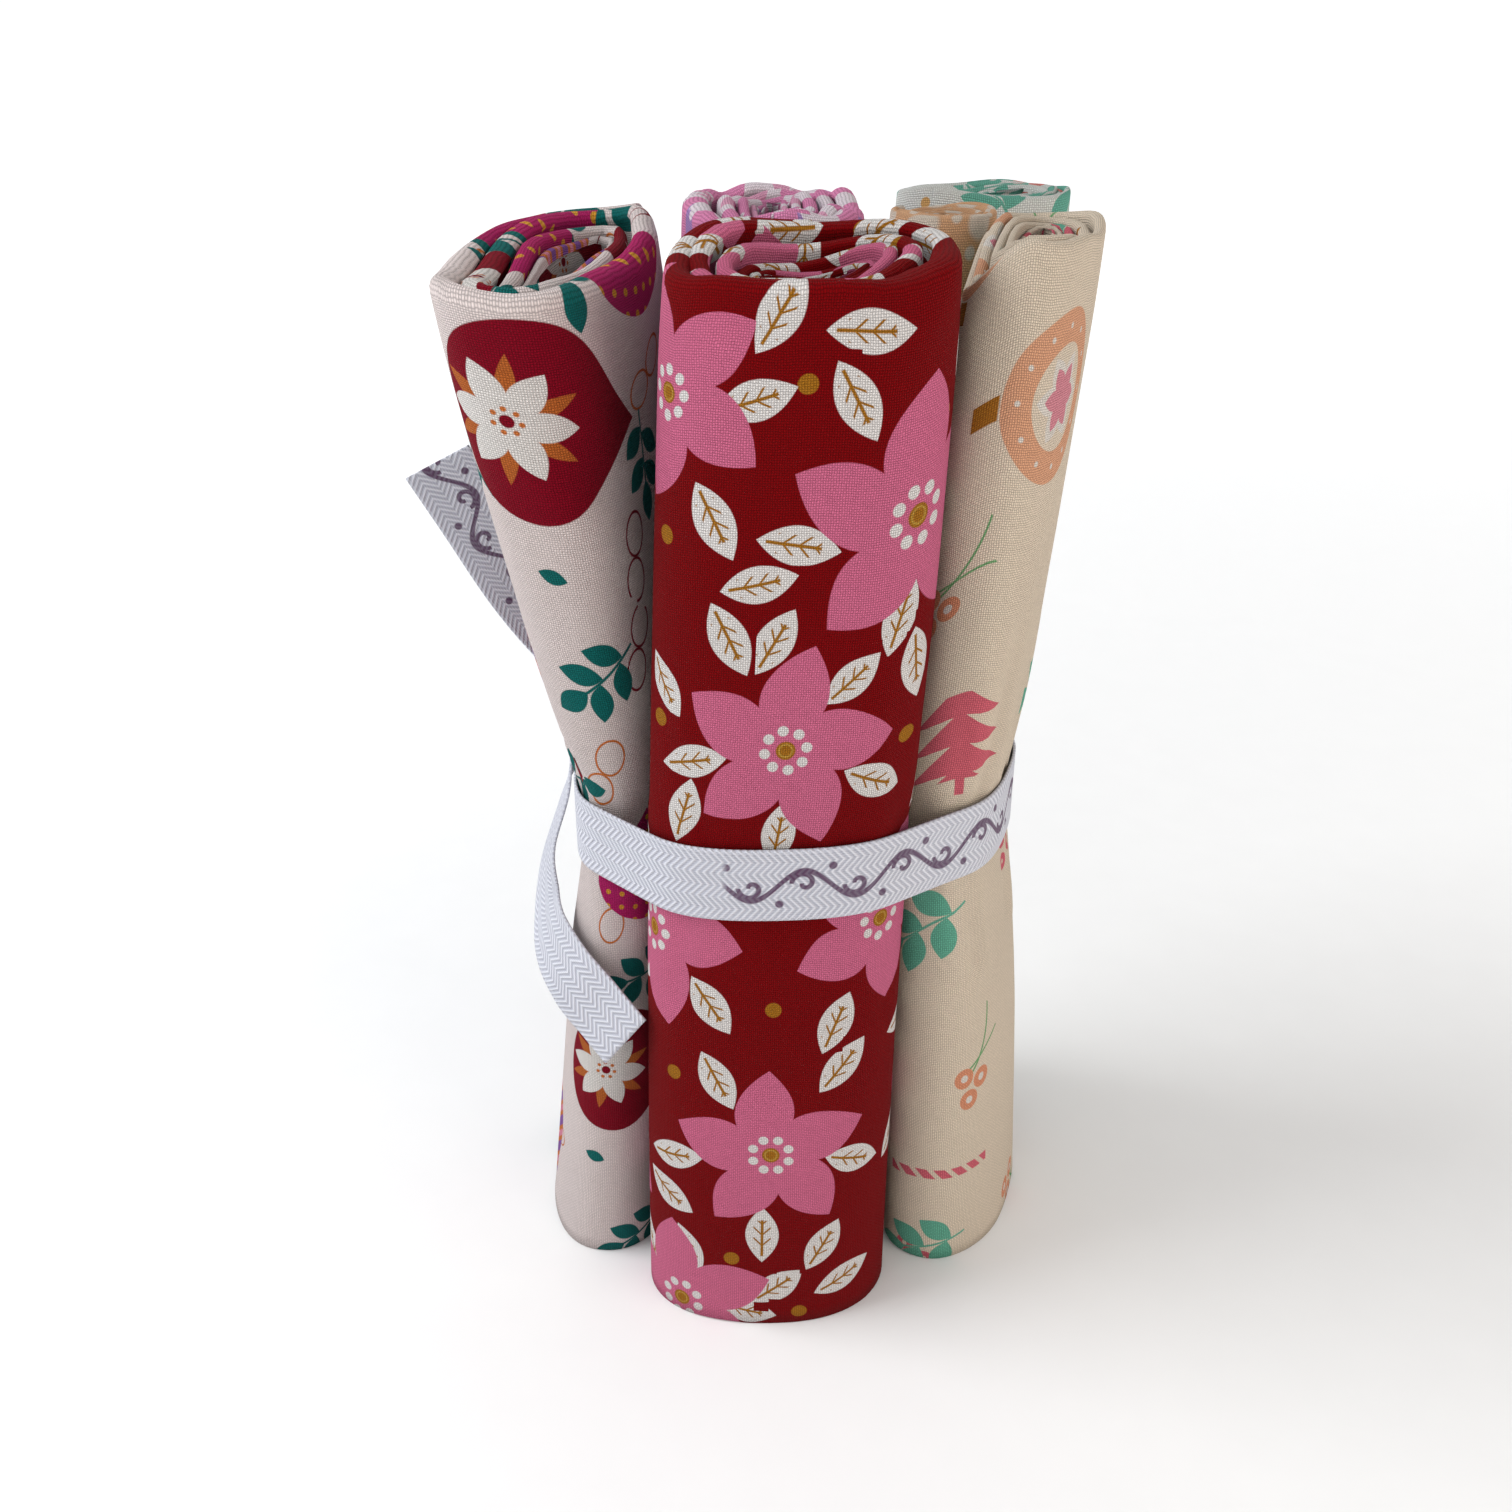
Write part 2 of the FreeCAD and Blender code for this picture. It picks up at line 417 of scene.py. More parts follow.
def blossom_print():
    net = Net("cotton_pink_print")
    u, v, _ = net.attribute("cloth")
    colour = srgb(244, 150, 196)
    x, y, _ = net.attribute("leaves")
    colour = net.lay(colour, lens(x, y, 6.5, 2.6), srgb(186, 148, 210))
    x, y, _ = net.attribute("blooms")
    along, across, r = polar_fold(net, x, y, 5)
    colour = net.lay(colour, petal(net, along, across, 13.0, 5.2), srgb(253, 238, 246))
    colour = net.lay(colour, petal(net, along, across, 8.5, 2.4), srgb(246, 176, 206))
    colour = net.lay(colour, r - 1.8, srgb(160, 110, 180))
    x, y, _ = net.attribute("dots")
    colour = net.lay(colour, net.length(x, y) - 1.2, srgb(253, 238, 246))
    return printed(net, colour, u, v)


def snow_print():
    net = Net("cotton_peach_print")
    u, v, _ = net.attribute("cloth")
    colour = srgb(251, 196, 150)
    x, y, _ = net.attribute("blooms")
    colour = net.lay(colour, net.length(x, y) - 3.4, srgb(254, 238, 220), soft=1.2)
    x, y, _ = net.attribute("dots")
    colour = net.lay(colour, net.length(x, y) - 1.3, srgb(254, 238, 220), soft=0.6)
    return printed(net, colour, u, v)


def mint_print():
    net = Net("cotton_mint_print")
    u, v, _ = net.attribute("cloth")
    colour = srgb(244, 246, 240)
    x, y, _ = net.attribute("leaves")
    colour = net.lay(colour, sprig(net, x, y, 8.5, 2.6), srgb(122, 198, 176))
    x, y, _ = net.attribute("blooms")
    along, across, _ = polar_fold(net, x, y, 3)
    colour = net.lay(colour, net.length(along - 3.0, across) - 2.1, srgb(244, 150, 140))
    x, y, _ = net.attribute("dots")
    colour = net.lay(colour, net.length(x, y) - 1.1, srgb(240, 188, 120))
    return printed(net, colour, u, v)


# ---------------------------------------------------------------- rolls
# The same ovals as the CAD rolls: x, y, half width, half depth, turn and squareness, in
# millimetres from the front of the bundle, at the foot, at the waist and at the top.
SHIFT = (10.926, -55.534)
WAIST_Z, HALF_TAPE = 114.3, 7.95
CUT_LENGTH, CUT_WIDTH = 558.8, 457.2
PLY_HEIGHT = 226.5  # straight part of each ply, below the rounded fold
FOLD_ARC = 4.2  # way over the fold
FOLD_Z = 227.0  # from here up a place lies on or behind the fold
FRONT_REACH = 236.0  # way along the cut, over the fold, where the placed motifs end


class Roll:
    def __init__(self, node, height, base, waist, top, opening_end, loose, heart, flare=0.75):
        self.node, self.height = node, height
        self.base, self.waist, self.top = (np.array(o, float) for o in (base, waist, top))
        self.opening_end = opening_end  # share of the way round where the outer end lies
        self.loose = loose  # share of the pitch that closes up towards the heart
        self.heart = heart  # half thickness of the heart, in mm
        self.flare = flare  # below 1, the roll opens quickly beside the tape


ROLLS = [
    Roll("roll_ornament_cream", 228.0,
         (-42, 58, 17, 35, -3, 2.3), (-32.5, 53, 11.5, 31, -8, 2.4),
         (-46.2, 58, 19.2, 44, -11.5, 2.8), 0.72, 0.64, 3.0, 0.88),
    Roll("roll_poinsettia_crimson", 228.6,
         (-5, 19.2, 28, 19, 3, 2.2), (-3, 18.5, 26.5, 13.5, 0, 2.5),
         (2.5, 20, 27, 19.5, 0, 2.5), 0.75, 0.62, 2.4),
    Roll("roll_bauble_ivory", 234.0,
         (42, 44.5, 14.5, 26, -28, 2.3), (35.3, 42, 11.3, 23, -18, 2.6),
         (45.2, 43, 12.8, 25.5, -18, 2.5), 0.93, 0.58, 2.2),
    Roll("roll_blossom_pink", 234.0,
         (-5, 69, 17.5, 29, 0, 2.6), (-4.5, 61.5, 14.5, 28, 0, 2.9),
         (-4, 72.5, 19.5, 31.5, 0, 2.7), 0.25, 0.60, 2.4),
    Roll("roll_snow_peach", 233.0,
         (20.5, 64, 7, 18, -6, 2.5), (17.2, 57.5, 6.4, 19, -4, 2.8),
         (31.5, 73.8, 12.2, 12.2, -4, 2.4), 0.90, 0.35, 1.6),
    Roll("roll_berry_mint", 235.0,
         (36, 89.5, 20, 11, -24, 2.5), (32, 84, 17, 9, -24, 2.7),
         (42, 98, 20, 12, -12, 2.6), 0.15, 0.40, 1.8),
]
PLY = 0.30  # thickness of the cloth, mm
ROUND = 256  # steps round a section
HEIGHTS = 72  # heights at which a roll's sections are made
DEPTHS = 14  # outlines from a roll's face to its heart
FINE_STEP, COARSE_STEP = 1.7, 4.2  # steps along the cut in the outer turn and inside it, mm
START_FLAT = 0.74  # turns that the outer end lies flat on the face
FIRST_SEED = 11
WAVES = 7  # waves in a soft noise


def ovals_at(roll, z):
    """The roll's oval at each height: (heights, 6)."""
    above = z > WAIST_Z
    reach = np.where(above, roll.height - WAIST_Z, WAIST_Z) - HALF_TAPE
    share = np.clip(np.abs(z - WAIST_Z) - HALF_TAPE, 0, None) / reach
    opening = np.clip(share, 0, 1) ** roll.flare
    end = np.where(above[:, None], roll.top, roll.base)
    return roll.waist + (end - roll.waist) * opening[:, None]


class Sections:
    """Evenly walked outlines of a roll at many heights and depths."""

    def __init__(self, roll):
        self.roll = roll
        self.z = np.linspace(0, roll.height, HEIGHTS)
        self.depths = np.linspace(0, 1, DEPTHS)
        oval = ovals_at(roll, self.z)
        x0, y0, wide, deep, turn, square = oval.T
        angle = np.linspace(-math.pi, math.pi, 4 * ROUND + 1)
        self.table = np.zeros((DEPTHS, len(self.z), ROUND + 1, 2))
        self.around = np.zeros((DEPTHS, len(self.z)))
        for d, share in enumerate(self.depths):
            thin = np.minimum(wide, deep)
            inset = share * (thin - roll.heart * thin / thin.max())
            power = 2 / (2 + (square - 2) * (1 - 0.6 * share))
            c, s = np.cos(angle), np.sin(angle)
            px = (wide - inset)[:, None] * np.sign(c) * np.abs(c) ** power[:, None]
            py = (deep - inset)[:, None] * np.sign(s) * np.abs(s) ** power[:, None]
            t = np.radians(turn)[:, None]
            qx = x0[:, None] + px * np.cos(t) - py * np.sin(t)
            qy = y0[:, None] + px * np.sin(t) + py * np.cos(t)
            steps = np.hypot(np.diff(qx), np.diff(qy))
            run = np.concatenate([np.zeros((len(self.z), 1)), np.cumsum(steps, axis=1)], axis=1)
            self.around[d] = run[:, -1]
            even = np.linspace(0, 1, ROUND + 1)
            for k in range(len(self.z)):
                self.table[d, k, :, 0] = np.interp(even, run[k] / run[k, -1], qx[k])
                self.table[d, k, :, 1] = np.interp(even, run[k] / run[k, -1], qy[k])

    def at(self, round_share, z, depth_share):
        """Points at shares of the way round, heights and shares of the depth (equal shapes)."""
        zi = np.clip(z / self.roll.height, 0, 1) * (len(self.z) - 1)
        di = np.clip(depth_share, 0, 1) * (DEPTHS - 1)
        ui = (round_share % 1.0) * ROUND
        out = 0
        for dd in (0, 1):
            for dz in (0, 1):
                for du in (0, 1):
                    d = np.minimum(di.astype(int) + dd, DEPTHS - 1)
                    k = np.minimum(zi.astype(int) + dz, len(self.z) - 1)
                    u = np.minimum(ui.astype(int) + du, ROUND)
                    fd, fz, fu = di - di.astype(int), zi - zi.astype(int), ui - ui.astype(int)
                    w = (fd if dd else 1 - fd) * (fz if dz else 1 - fz) * (fu if du else 1 - fu)
                    out = out + self.table[d, k, u] * w[..., None]
        return out


def soft_noise(x, y, seed):
    """A smooth random surface between about -1 and 1."""
    pick = np.random.default_rng(seed)
    total = 0
    for _ in range(WAVES):
        angle, reach = pick.uniform(0, 2 * math.pi), pick.uniform(0.6, 1.7)
        phase = pick.uniform(0, 6.28)
        total = total + np.sin((x * math.cos(angle) + y * math.sin(angle)) * reach + phase)
    return total / math.sqrt(WAVES) / 1.4


def on_front(points, cloth_u, cloth_v, turn, x, z):
    """Cloth coordinates of the place on a roll's outer face that is seen at x and height z."""
    outer = (turn < 1.0) & (cloth_v < FOLD_Z)
    facing = points[..., 1] < np.median(points[..., 1])
    away = (points[..., 0] - SHIFT[0] - x) ** 2 + (points[..., 2] - z) ** 2
    away = away + np.where(outer & facing, 0, 1e6)
    k = np.unravel_index(np.argmin(away), away.shape)
    return cloth_u[k], cloth_v[k] + max(z - FOLD_Z, 0)


# How much lower each turn's fold lies than the one outside it, in mm.
USUAL_SINK = 0.5
SINK = {"roll_ornament_cream": 1.8, "roll_poinsettia_crimson": 1.0, "roll_bauble_ivory": 0.9}


def top_heights(roll, x, y, u, turn, seed):
    """How far the fold stands above or below the roll's height, all along the cut."""
    lift = 1.1 * soft_noise(x / 6, y / 6, seed + 20) + 0.7 * soft_noise(u / 8, turn, seed + 21)
    lift = lift - 1.0 - SINK.get(roll.node, USUAL_SINK) * np.clip(turn - 1, 0, 3)
    if roll.node == "roll_poinsettia_crimson":
        lift = lift + 0.2 * np.clip(y - 8, 0, 30) + 0.03 * (x + 25)
    if roll.node == "roll_ornament_cream":
        lift = lift - 2.5 + 0.075 * np.clip(y - 15, 0, 80)
    if roll.node == "roll_bauble_ivory":
        lift = lift - 11 * np.clip((41 - x) / 11, 0, 1) ** 1.5
    if roll.node == "roll_blossom_pink":
        lift = lift + 0.9 * soft_noise(u / 2.6, turn * 3, seed + 22) + 1.0
    return lift


# Creases pressed into the faces that show: from x, z to x, z, then depth and half breadth, all in mm.
CREASES = {
    "roll_ornament_cream": [
        (-60, 158, -43, 124, 1.5, 3.2), (-52, 140, -38, 122, 1.2, 2.4), (-46, 104, -52, 84, 1.2, 3.0),
        (-50, 214, -36, 186, 0.9, 4.0), (-40, 106, -34, 92, 0.8, 2.2)],
    "roll_poinsettia_crimson": [
        (-26, 150, -19, 124, 0.8, 2.2), (20, 146, 23, 122, 0.9, 2.4), (-14, 134, -11, 122, 0.5, 1.8),
        (8, 133, 10, 122, 0.5, 1.8), (-22, 106, -24, 84, 0.7, 2.4), (18, 106, 21, 80, 0.7, 2.6),
        (-20, 226, -8, 221, 1.0, 3.0), (2, 222, 24, 229, 0.8, 3.2)],
    "roll_bauble_ivory": [
        (45, 160, 38, 122, 1.3, 2.6), (52, 150, 46, 122, 1.2, 2.4), (34, 142, 34, 122, 0.8, 2.0),
        (36, 106, 40, 84, 0.9, 2.6), (46, 107, 50, 86, 0.9, 2.4)],
}


def crease_depth(roll, points, cloth_u, cloth_v, turn):
    """How deep the pressed creases are at every point of the cut."""
    total = 0
    for x1, z1, x2, z2, depth, broad in CREASES.get(roll.node, ()):
        a = np.array(on_front(points, cloth_u, cloth_v, turn, x1, z1))
        b = np.array(on_front(points, cloth_u, cloth_v, turn, x2, z2))
        run = b - a
        du, dv = cloth_u - a[0], cloth_v - a[1]
        t = np.clip((du * run[0] + dv * run[1]) / max(run @ run, 1e-9), 0, 1)
        away = np.hypot(du - t * run[0], dv - t * run[1])
        fade = 0.35 + 0.65 * t
        total = total + depth * fade * np.exp(-(away / broad) ** 2)
        total = total - 0.35 * depth * fade * np.exp(-((away - 2.2 * broad) / broad) ** 2)
    return total


def roll_grid(roll, seed):
    """The middle surface of the folded cut in millimetres, with its cloth coordinates."""
    sections = Sections(roll)
    depth_limit = min(roll.top[2], roll.top[3]) - roll.heart
    around = sections.around.mean(axis=1)

    def depth_at(turns, total):
        x = np.clip((turns - START_FLAT) / (total - START_FLAT), 0, 1)
        return roll.loose * (1 - (1 - x) ** 3) + (1 - roll.loose) * x

    total = 3.0
    for _ in range(30):
        turns = np.linspace(0, total, 2000)
        lengths = np.interp(depth_at(turns, total), sections.depths, around)
        total *= (CUT_LENGTH / (lengths.mean() * total)) ** 0.7
    turns = np.linspace(0, total, 4000)
    walked = np.concatenate([[0], np.cumsum(np.interp(
        depth_at(turns, total), sections.depths, around)[1:] * np.diff(turns))])
    walked *= CUT_LENGTH / walked[-1]
    outer_walk = np.interp(1.08, turns, walked)
    u = np.concatenate([
        np.arange(0, outer_walk, FINE_STEP),
        np.arange(outer_walk, CUT_LENGTH - 2, COARSE_STEP),
        [CUT_LENGTH]])
    turn = np.interp(u, walked, turns)
    depth = depth_at(turn, total)
    slope = np.gradient(depth_at(turns, total), turns)
    pitch = np.interp(turn, turns, slope * depth_limit)
    pitch[turn < 1.0] = np.interp(1.05, turns, slope) * depth_limit
    # How far apart the two plies of a turn lie, at the fold and lower down, in mm.
    swell = np.clip(pitch * 0.64, 0.8, 5.6)
    gap = np.clip(pitch * 0.30, 0.45, 1.0)
    top = sections.at(turn + roll.opening_end, np.full(len(u), roll.height), depth)
    height = roll.height + top_heights(roll, top[:, 0], top[:, 1], u, turn, seed)

    # Rows up a ply, closer together under the fold, and the rows over the fold.
    rows = np.concatenate([np.linspace(0, 0.86, 54)[:-1], np.linspace(0.86, 1, 12)])
    arc = np.linspace(0, 1, 9)[1:-1]
    n = len(u)
    half = swell / 2
    # Outer ply up, over the fold and down the inner ply: height and inset of every point.
    straight = (height - half)[:, None] * rows[None, :]
    near_top = np.clip((straight - (height - 20)[:, None]) / 20, 0, 1)
    shoulder = 0.7 * near_top ** 2
    z = np.concatenate([
        straight,
        (height - half)[:, None] + half[:, None] * np.sin(arc * math.pi)[None, :],
        straight[:, ::-1]], axis=1)
    spread = gap[:, None] + (swell - gap)[:, None] * near_top ** 2
    inset = np.concatenate([
        shoulder + 0 * spread,
        shoulder[:, -1:] + (swell[:, None]) * (1 - np.cos(arc * math.pi))[None, :] / 2,
        (shoulder + spread)[:, ::-1]], axis=1)
    cloth_v = np.concatenate([
        np.repeat(rows[None, :] * PLY_HEIGHT, n, 0),
        np.repeat(PLY_HEIGHT + arc[None, :] * FOLD_ARC, n, 0),
        np.repeat(CUT_WIDTH - rows[None, ::-1] * PLY_HEIGHT, n, 0)], axis=1)
    cloth_u = np.repeat(u[:, None], z.shape[1], 1)
    turn_grid = np.repeat(turn[:, None], z.shape[1], 1)

    # Folds drawn in under the tape, and slow unevenness of a soft roll.
    away = np.abs(z - WAIST_Z)
    pinch = np.exp(-np.clip(away - 5, 0, None) / 17.0)
    lean = (z - WAIST_Z) * 0.16
    pleats = np.sin((cloth_u + lean) * 0.62 + 2.2 * soft_noise(cloth_u / 24, z / 60, seed + 2))
    pleats = pleats * (0.55 + 0.45 * soft_noise(cloth_u / 15, z / 40, seed + 3))
    slow = soft_noise(cloth_u / 17, z / 26, seed + 4)
    long_folds = soft_noise(cloth_u / 7, z / 70, seed + 5)
    edge = np.clip((away - 60) / 50, 0, 1)
    dent = 0.55 * pinch * (1 - pleats) + 0.42 * (1 - slow) * (1 - pinch)
    dent = dent + 0.34 * edge * (1 + long_folds)
    plain = sections.at(turn_grid + roll.opening_end, z, np.repeat(depth[:, None], z.shape[1], 1))
    plain = np.concatenate([plain + np.array(SHIFT), z[..., None]], axis=-1)
    dent = dent + crease_depth(roll, plain, cloth_u, cloth_v, turn_grid)
    inset = inset + dent * np.clip(1.25 - 0.3 * turn_grid, 0.35, 1.0)
    share = depth[:, None] + inset / depth_limit
    across = sections.at(turn_grid + roll.opening_end, z, share)
    # The layers wander a little near the top, all together, so that none crosses another.
    loose = np.clip((z - roll.height + 60) / 60, 0, 1) ** 1.5 * np.clip(share * 3.2, 0, 1)
    wander = np.stack([
        soft_noise(across[..., 0] / 7.5, across[..., 1] / 7.5, seed + 30),
        soft_noise(across[..., 0] / 7.5, across[..., 1] / 7.5, seed + 31)], axis=-1)
    across = across + 1.5 * wander * loose[..., None]
    z = z + 0.5 * soft_noise(cloth_u / 9, z * 0, seed + 6) * (1 - z / roll.height)
    z = np.clip(z, PLY / 2, None)
    points = np.concatenate([across + np.array(SHIFT), z[..., None]], axis=-1)
    return points, cloth_u, cloth_v, turn_grid


def thick_sheet(name, points, thickness):
    """A closed mesh of a cloth: both faces of the grid, with their rims joined."""
    du = np.gradient(points, axis=0)
    dv = np.gradient(points, axis=1)
    normal = np.cross(du, dv)
    normal /= np.maximum(np.linalg.norm(normal, axis=-1, keepdims=True), 1e-9)
    n, m = points.shape[:2]
    verts = np.concatenate([
        (points + normal * thickness / 2).reshape(-1, 3),
        (points - normal * thickness / 2).reshape(-1, 3)]) * MM
    index = np.arange(n * m).reshape(n, m)
    corners = [index[:-1, :-1], index[1:, :-1], index[1:, 1:], index[:-1, 1:]]
    quads = np.stack(corners, axis=-1).reshape(-1, 4)
    back = quads[:, ::-1] + n * m
    ring = np.concatenate([index[:-1, 0], index[-1, :-1], index[:0:-1, -1], index[0, :0:-1]])
    nxt = np.roll(ring, -1)
    rim = np.stack([nxt, ring, ring + n * m, nxt + n * m], axis=-1)
    faces = np.concatenate([quads, back, rim])
    mesh = bpy.data.meshes.new(name)
    mesh.from_pydata(verts.tolist(), [], faces.tolist())
    mesh.validate()
    mesh.polygons.foreach_set("use_smooth", np.ones(len(mesh.polygons), bool))
    obj = bpy.data.objects.new(name, mesh)
    scene.collection.objects.link(obj)
    return obj, faces


def put_attribute(mesh, name, values, domain):
    made = mesh.attributes.new(name, "FLOAT_VECTOR", domain)
    made.data.foreach_set("vector", np.ascontiguousarray(values, np.float32).ravel())


def motif_coordinates(faces, cloth, motifs, half_long):
    """For each corner, its place in the frame of the motif nearest to its face.

    A motif is a line of that half length, so that a long leaf keeps its tips.
    """
    motifs = np.array(motifs, float)
    corner = cloth[faces]
    middle = corner.mean(axis=1)
    nearest = np.zeros(len(faces), int)
    best = np.full(len(faces), 1e18)
    for k, (u, v, angle, size, kind) in enumerate(motifs):
        c, s = math.cos(math.radians(angle)), math.sin(math.radians(angle))
        du, dv = middle[:, 0] - u, middle[:, 1] - v
        along = np.clip(du * c + dv * s, -half_long, half_long)
        away = np.hypot(du - along * c, dv - along * s) / size
        nearest = np.where(away < best, k, nearest)
        best = np.minimum(best, away)
    u, v, angle, size, kind = motifs[nearest].T
    c, s = np.cos(np.radians(angle))[:, None], np.sin(np.radians(angle))[:, None]
    dx, dy = corner[..., 0] - u[:, None], corner[..., 1] - v[:, None]
    x, y = (dx * c + dy * s) / size[:, None], (dy * c - dx * s) / size[:, None]
    return np.stack([x, y, np.repeat(kind[:, None], faces.shape[1], 1)], axis=-1)


ROW_STEP = 0.87  # of the spacing, from one row of motifs to the next
JITTER = 0.18  # of the spacing, by which a motif may stray


def filled(placed, spacing, kinds, seed, size, clear):
    """Adds motifs in staggered rows over the rest of the cut, clear of those already placed."""
    pick = np.random.default_rng(seed)
    made = list(placed)
    rows = int(CUT_WIDTH / spacing) + 2
    columns = int(CUT_LENGTH / spacing) + 2
    margin = clear * spacing
    kept = [(min(p[0] for p in placed) - margin, max(p[0] for p in placed) + margin)] if placed else []
    for row in range(rows):
        for column in range(columns):
            u = (column + 0.5 * (row % 2)) * spacing + pick.uniform(-1, 1) * spacing * JITTER
            v = row * spacing * ROW_STEP + pick.uniform(-1, 1) * spacing * JITTER
            angle = pick.uniform(0, 360)
            kind = kinds[int(pick.integers(0, len(kinds)))]
            if v < FRONT_REACH and any(low < u < high for low, high in kept):
                continue
            if all(math.hypot(u - p[0], v - p[1]) > spacing * 0.8 for p in placed):
                made.append((u, v, angle, size, kind))
    return made


# Places of the motifs on the faces that show from the front: x, z and turn, then the size if it
# is not 1 and the kind if it is not 0.
FRONT = {
    "roll_poinsettia_crimson": {
        "blooms": [
            (20.5, 189.5, 30, 1.12), (-2.4, 142.6, 22, 0.97), (-4.3, 47.5, 35, 0.97),
            (17.5, 102.5, 5, 0.93), (-22.6, 208, 54, 0.92), (-28.0, 101, 12, 0.98), (-24, 5, 40)],
        "leaves": [
            (-2.5, 223.4, 60), (11.7, 220.8, 0), (-7.1, 210.8, 20, .95), (9.5, 209, -60),
            (-15.1, 187.7, -62), (-0.4, 184.5, -8), (-6.8, 177, 15, 0.95), (-12.4, 164, -62),
            (-3.2, 165.3, 62, .95), (10.5, 157, 45, .9), (-24.5, 153, -55, .9),
            (-19.4, 141.2, 12, .95), (-21.4, 130.2, 78, .95), (-3.6, 124, 85, .95),
            (14.7, 134.8, -25, .95), (18.8, 171, 75), (22.8, 160, -80), (-16.4, 86.2, -55),
            (8.6, 81, 68), (11.4, 70, 50), (-15.3, 66.8, -62), (-24.5, 43.9, 10, .95),
            (14.2, 44, -22, .95), (-26.0, 33.4, -30, .95), (-23, 20, -70, .95), (-5.3, 24.7, 90),
            (8.2, 20.9, 60, .95), (-2.3, 11.5, 40, .95), (11.8, 9, 20, .95), (-9.5, 2.5, -10, .9)],
        "dots": [
            (1.0, 211.3, 0), (-23.5, 184, 0), (25.5, 205, 0), (-25.8, 146.2, 0),
            (21.8, 144.7, 0), (-3.6, 83, 0), (-25, 67.1, 0), (-12, 18.2, 0), (2.0, 3.5, 0)]},
    "roll_ornament_cream": {
        "blooms": [
            (-49, 201, -9), (-38, 54, -8, 0.9), (-30, 106, 90, 0.7, 2), (-58, 150, 60, 0.8, 1),
            (-57, 25, -60, 0.8, 1)],
        "leaves": [
            (-37, 150, 215, 1.05), (-32, 78, 190), (-36, 5, 205), (-40.5, 236, -90, 1.1)],
        "dots": [
            (-46, 172.5, -20), (-31, 172.9, 80, 1, 1), (-31, 156.2, 70, 1, 1),
            (-38.5, 129, 60, 1, 2), (-37, 98.5, 80, 1, 2), (-45, 28, -20)]},
    "roll_bauble_ivory": {
        "blooms": [(48.5, 206, 0), (33, 139, 100, 0.9, 1)],
        "leaves": [
            (31, 169, 40, 0.9, 1), (29, 92, -150, 1.05), (42, 56, 55, 1, 1), (33, 3, -160, 0.95)],
        "dots": [(37, 28, 2), (30, -2, 0, 1, 1), (52, 100, 0, 1, 1)]},
}
# Motifs over the rest of each cut: spacing in mm, kinds and size.
FILLING = {
    "roll_poinsettia_crimson": {
        "blooms": (47, (0,), 1.0), "leaves": (16.5, (0,), 0.95), "dots": (29, (0,), 1.0)},
    "roll_ornament_cream": {
        "blooms": (52, (0, 1, 2), 0.85), "leaves": (38, (0,), 1.0), "dots": (27, (0, 1, 2), 1.0)},
    "roll_bauble_ivory": {
        "blooms": (54, (0, 1), 0.9), "leaves": (40, (0, 1), 1.0), "dots": (46, (0, 1), 0.9)},
    "roll_blossom_pink": {
        "blooms": (30, (0,), 1.0), "leaves": (17, (0,), 1.0), "dots": (13, (0,), 1.0)},
    "roll_snow_peach": {
        "blooms": (13, (0,), 1.0), "leaves": (90, (0,), 1.0), "dots": (9, (0,), 1.0)},
    "roll_berry_mint": {
        "blooms": (30, (0,), 1.0), "leaves": (24, (0,), 1.0), "dots": (15, (0,), 1.0)},
}
# Share of the spacing that stays empty on both sides of the placed motifs.
USUAL_CLEAR = 0.25
CLEAR = {"roll_bauble_ivory": 0.6}
HALF_LEAF = 5.0
PRINTS = {
    "roll_poinsettia_crimson": (crimson_print, "cotton_crimson_poinsettia"),
    "roll_ornament_cream": (cream_print, "cotton_cream_ornament"),
    "roll_bauble_ivory": (ivory_print, "cotton_ivory_bauble"),
    "roll_blossom_pink": (blossom_print, "cotton_pink_blossom"),
    "roll_snow_peach": (snow_print, "cotton_peach_snow"),
    "roll_berry_mint": (mint_print, "cotton_mint_berry"),
}


def make_roll(roll, seed):
    points, cloth_u, cloth_v, turn = roll_grid(roll, seed)
    name = roll.node.replace("roll_", "cloth_")
    obj, faces = thick_sheet(name, points, PLY)
    cloth = np.stack([cloth_u.ravel(), cloth_v.ravel()], axis=-1)
    cloth = np.concatenate([cloth, cloth])
    padded = np.concatenate([cloth, np.zeros((len(cloth), 1))], axis=-1)
    put_attribute(obj.data, "cloth", padded, "POINT")
    clear = CLEAR.get(roll.node, USUAL_CLEAR)
    for number, layer in enumerate(("blooms", "leaves", "dots")):
        placed = []
        for place in FRONT.get(roll.node, {}).get(layer, ()):
            x, z, angle, size, kind = place + (1.0, 0)[len(place) - 3:]
            u, v = on_front(points, cloth_u, cloth_v, turn, x, z)
            placed.append((u, v, angle, size, kind))
        spacing, kinds, size = FILLING[roll.node][layer]
        motifs = filled(placed, spacing, kinds, seed * 10 + number, size, clear)
        half_long = HALF_LEAF if layer == "leaves" else 0.0
        places = motif_coordinates(faces, cloth, motifs, half_long)
        put_attribute(obj.data, layer, places.reshape(-1, 3), "CORNER")
    make_print, slot = PRINTS[roll.node]
    obj.data.materials.append(make_print())
    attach(obj, "bundle")
    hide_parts(roll.node)
    return obj


for number, roll in enumerate(ROLLS):
    make_roll(roll, FIRST_SEED + number)


# ---------------------------------------------------------------- tape
TAPE_WIDTH = 15.9
TAPE_THICK = 0.6
TAPE_COLUMNS = 23  # points across the tape
TAIL_STEPS = 90
BAND_STEPS = 240
RIB_PITCH, YARN_PITCH, HERRING_WIDTH = 1.4, 0.5, 5.3
SCROLL_REPEAT = 21.0


